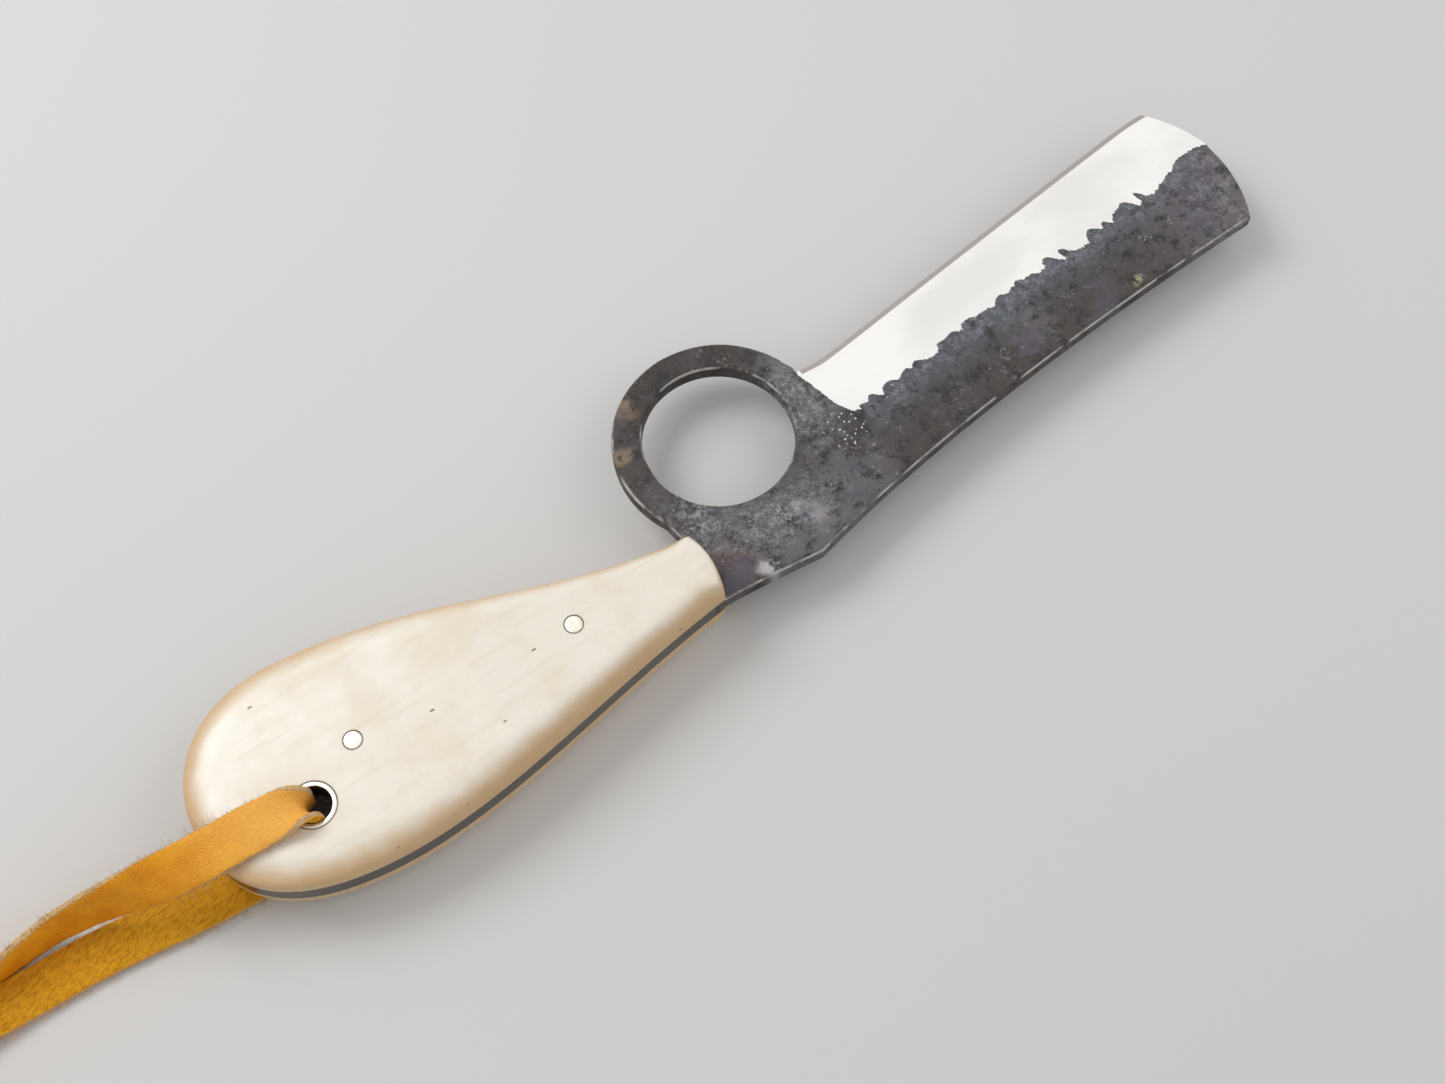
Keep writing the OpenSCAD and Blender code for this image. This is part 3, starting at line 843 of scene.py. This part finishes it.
def tone_at(x, y):
    """Colour of the forge skin: brown, umber on the ring, grey at the neck, blue by the grind
    and mauve at the tip, with its blots."""
    colour = BROWN.lerp(UMBER, smooth(y, 4, 15) * (1 - smooth(x, 12, 20)))
    neck = 0.8 * smooth(-y, 8, 20) * (1 - smooth(x, 8, 30)) * smooth(x, -20, -8)
    colour = colour.lerp(GREY, neck)
    colour = colour.lerp(GREY, 0.6 * smooth(x, 10, 17) * (1 - smooth(x, 22, 27)))
    if x > EDGE_START.x:
        colour = colour.lerp(BLUE, 0.9 * math.exp(min(0, over_border(x, y) + 1) / 2.6))
    colour = colour.lerp(MAUVE, 0.85 * smooth(x, 84, 108))
    for bx, by, r, blot, strength in BLOTS:
        far = math.hypot(x - bx, y - by) / r + 0.45 * fractal(x, y, bx, 2.2)
        colour = colour.lerp(Vector(blot), strength * (1 - smooth(far, 0.5, 1.15)))
    return tuple(colour)


def ash_at(x, y):
    """Strength of the ash-grey mottling of the forge skin."""
    low_ring = math.exp(-((x + 12) ** 2 + (y + 13) ** 2) / 45)
    right_ring = math.exp(-((x - 16) ** 2 / 22 + (y + 1) ** 2 / 90))
    neck = math.exp(-((x - 2) ** 2 / 110 + (y + 19) ** 2 / 26))
    by_border = 0.5 * math.exp(min(0, over_border(x, y)) / 2.2) if x > 26 else 0.0
    tip = 0.45 * smooth(x, 94, 108)
    return min(1, max(low_ring, right_ring, neck, by_border, tip))


def blade_values(x, y, d, bared, edge):
    """What the steel's material reads at a point that is d inside the outline."""
    covered = in_handle(x, y)
    bevelled = x > HEEL.x - 0.5 and bared > 0
    return {
        "ground": max(-BARED_MOST, min(BARED_MOST, bared)),
        "from_edge": edge if bevelled else OFF_EDGE,
        # the tang's side wall, which is painted dark for shade
        "tang_side_shade": 1.0 if covered and x < NECK_X - 2 and d < 0.05 else 0.0,
        # arris: where the thin pale edge line goes, partly bare steel and partly a painted highlight
        "arris": 0.0 if covered else smooth(d, 0.02, 0.15) * (1 - smooth(d, 0.17, 0.42)),
        "tone": tone_at(x, y),
        "ash": ash_at(x, y),
        "specks": 0.9 * (1 - smooth(math.hypot(x - SPECKS_X, y - SPECKS_Y), 2.5, 5))}


def blade_rims(x):
    return (0.16, 0.42, 0.75) if x > NECK_X - 2 else (0.15, 0.6)


def blade_skip(x):
    return 1 if x > NECK_X - 3 else 5


def make_blade():
    outline = divided(blade_outline(), 0.8)
    cutting = Border([edge_line()], closed=False)
    plan = plan_of(outline, [((0, HOLE_UP), HOLE_R, 120)], 0.6, blade_skip, blade_rims)
    found = {}

    def half(x, y, d):
        if (x, y) not in found:
            found[x, y] = blade_at(x, y, d, cutting)
        return found[x, y][0]

    def top(x, y, d):
        return MID_Z + half(x, y, d)

    def bottom(x, y, d):
        return MID_Z - half(x, y, d)

    points, faces, away = slab(plan, top, bottom)
    rows = [blade_values(x, y, d, *found[x, y][1:]) for (x, y, _), d in zip(points, away)]
    values = {key: [row[key] for row in rows] for key in rows[0]}
    piece = mesh("blade_forging", points, faces, steel_material(), values, 38)
    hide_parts("blade")


# ---------------------------------------------------------------- handle
RIM_SHARES = (0.012, 0.05, 0.11, 0.2, 0.32, 0.47, 0.66, 0.86)   # rows of points on the rounding
BULGE = 1.2                       # the scales' front ends bow out by this
PIN_SIDES, TUBE_SIDES = 48, 72    # of their holes in the scales


def scale_h(x):
    """Height of a scale, which thins towards the butt."""
    return SCALE_T - TAPER * max(0, FLAT_END - x)


def round_at(x):
    """Width of the rounding along a scale's edge."""
    back = max(0, NECK_X - x)
    return min(1.2 + 0.6 * back, 3.4 + (6 - 3.4) * back / HANDLE_L)


def scale_z(x, y, d):
    """Height of a scale's surface above its seat, at a point that is d inside its outline."""
    a = 1 - min(1, d / round_at(x))
    wave = 0.035 * fractal(x, y, 5, 16, 2) * min(1, d / 4)
    return SIDE_H + (scale_h(x) - SIDE_H) * math.sqrt(1 - a * a) + wave - 0.03


def scale_rims(x):
    return tuple(share * round_at(x) for share in RIM_SHARES)


def every_one(_):
    return 1


def make_scale(name, node, base, way, plan, outer, holes, material):
    """A scale that rises from its seat at z base, upwards or downwards as way says."""
    def rise(x, y, _):
        return base + way * scale_z(x, y, outer.away(x, y))

    def level(*_):
        return base

    points, faces, _ = slab(plan, rise, level)
    if way < 0:
        faces = [f[::-1] for f in faces]
    # rim: share of the painted shade on the rounded edge
    rim = [1 - min(1, outer.away(x, y) / (1.25 * round_at(x))) for x, y, _ in points]
    # seam: where the thin dark line of painted shade round each hole goes
    seam = [max(1 - smooth(abs(math.hypot(x - m[0], y - m[1]) - r), 0, 0.22) for m, r, _ in holes)
            for x, y, _ in points]
    piece = mesh(name, points, faces, material, {"rim": rim, "seam": seam}, 40)
    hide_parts(node)


def make_scales():
    front_end = [NECK_LOW.lerp(NECK_TOP, t) + Vector((BULGE * math.sin(math.pi * t), 0))
                 for t in (k / 16 for k in range(16))]
    outline = handle_outline() + front_end
    holes = [(mid, r + SEAT, sides) for mid, r, sides in (
        (FRONT_PIN, PIN_R, PIN_SIDES), (REAR_PIN, PIN_R, PIN_SIDES), (TUBE, TUBE_R, TUBE_SIDES))]
    outer = Border([divided(outline, SAMPLED)])
    plan = plan_of(outline, holes, 0.9, every_one, scale_rims)
    bone = bone_material()
    make_scale("front_scale_bone", "front_scale", TANG_Z + BLADE_T, 1, plan, outer, holes, bone)
    make_scale("back_scale_bone", "back_scale", TANG_Z, -1, plan, outer, holes, bone)


def make_rod(name, node, mid, outer, bore, material):
    """A rod or tube dressed flush with both scales, with small rounded lips. Only a tube has a
    bore above 0, and it's open from end to end."""
    lip = 0.14
    rings = [(outer, -lip), (outer - 0.04, -0.05), (outer - lip, 0)]
    rings += [(bore + lip, 0), (bore + 0.04, -0.05), (bore, -lip), (bore, -1.5)] if bore else [
        (0.7 * outer, 0), (0.35 * outer, 0), (0.02, 0)]
    top = [(r, dz, 1) for r, dz in rings]
    profile = [(r, dz, -1) for r, dz in reversed(rings)] + top
    sides = 72
    points, rim = [], []
    for r, dz, way in profile:
        for k in range(sides):
            a = 2 * math.pi * k / sides
            x, y = mid[0] + r * math.cos(a), mid[1] + r * math.sin(a)
            points.append((x, y, MID_Z + way * (BLADE_T / 2 + scale_h(x) + dz)))
            # 1 on the outer edge and in the bore, which are painted dark for shade
            rim.append(1.0 if r >= outer or (bore and r <= bore) else 0.0)
    m = len(profile)
    last = m if bore else m - 1
    faces = [(i * sides + k, i * sides + (k + 1) % sides, (i + 1) % m * sides + (k + 1) % sides,
              (i + 1) % m * sides + k) for i in range(last) for k in range(sides)]
    if not bore:
        faces += [tuple(range(sides))[::-1], tuple((m - 1) * sides + k for k in range(sides))]
    piece = mesh(name, points, faces, material, {"rim": rim}, 60)
    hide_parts(node)


def make_rods():
    pins = rod_material("pin_metal", (0.76, 0.72, 0.62), (0.62, 0.57, 0.47))
    tube = rod_material("tube_metal", (0.82, 0.79, 0.74), (0.66, 0.62, 0.56))
    make_rod("front_pin_rod", "front_pin", FRONT_PIN, PIN_R, 0, pins)
    make_rod("rear_pin_rod", "rear_pin", REAR_PIN, PIN_R, 0, pins)
    make_rod("lanyard_tube_lined", "lanyard_tube", TUBE, TUBE_R, TUBE_BORE_R, tube)


# ---------------------------------------------------------------- room
WORLD_LEVEL = 0.54                # light of the surroundings; mirrors see them as white
FLOOR_HALF = 8                    # half the floor's side, in metres
# Name, place, watts and width in metres of each lamp, and the place that all of them face
LAMPS = [("key", (-260, 330, 520), 1.8, 0.34), ("fill", (420, -120, 420), 0.5, 0.5)]
LAMPS_AIM = (-10, -10, 8)


def make_floor():
    corners = [(x * FLOOR_HALF, y * FLOOR_HALF, 0) for x, y in ((-1, -1), (1, -1), (1, 1), (-1, 1))]
    data = bpy.data.meshes.new("floor")
    data.from_pydata(corners, [], [(0, 1, 2, 3)])
    data.materials.append(floor_material())
    floor = bpy.data.objects.new("floor", data)
    bpy.context.collection.objects.link(floor)
    floor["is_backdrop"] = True


def make_world():
    """Even light, weaker on rough surfaces than in mirrors and in the camera's view."""
    world = bpy.data.worlds.new("studio")
    world.use_nodes = True
    tree = world.node_tree
    back = tree.nodes["Background"]
    back.inputs["Color"].default_value = (1, 1, 1, 1)
    rays = tree.nodes.new("ShaderNodeLightPath")
    seen = None
    for ray in ("Is Camera Ray", "Is Glossy Ray", "Is Transmission Ray"):
        most = tree.nodes.new("ShaderNodeMath")
        most.operation = "MAXIMUM"
        most.inputs[0].default_value = WORLD_LEVEL
        if seen:
            tree.links.new(seen, most.inputs[0])
        tree.links.new(rays.outputs[ray], most.inputs[1])
        seen = most.outputs[0]
    tree.links.new(seen, back.inputs["Strength"])
    bpy.context.scene.world = world


def make_lamps():
    for name, where, power, width in LAMPS:
        data = bpy.data.lights.new(name, "AREA")
        data.energy = power
        data.size = width
        lamp = bpy.data.objects.new(name, data)
        bpy.context.collection.objects.link(lamp)
        lamp.location = place(where)
        lamp.rotation_mode = "QUATERNION"
        lamp.rotation_quaternion = (place(LAMPS_AIM) - lamp.location).to_track_quat("-Z", "Y")


make_camera()
make_lace()
make_blade()
make_scales()
make_rods()
make_floor()
make_world()
make_lamps()
bpy.context.scene.view_settings.view_transform = "Standard"

plain = lambda box: [[float(v) for v in corner] for corner in box]
{"cad": plain(cad_box), "visual": plain(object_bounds())}
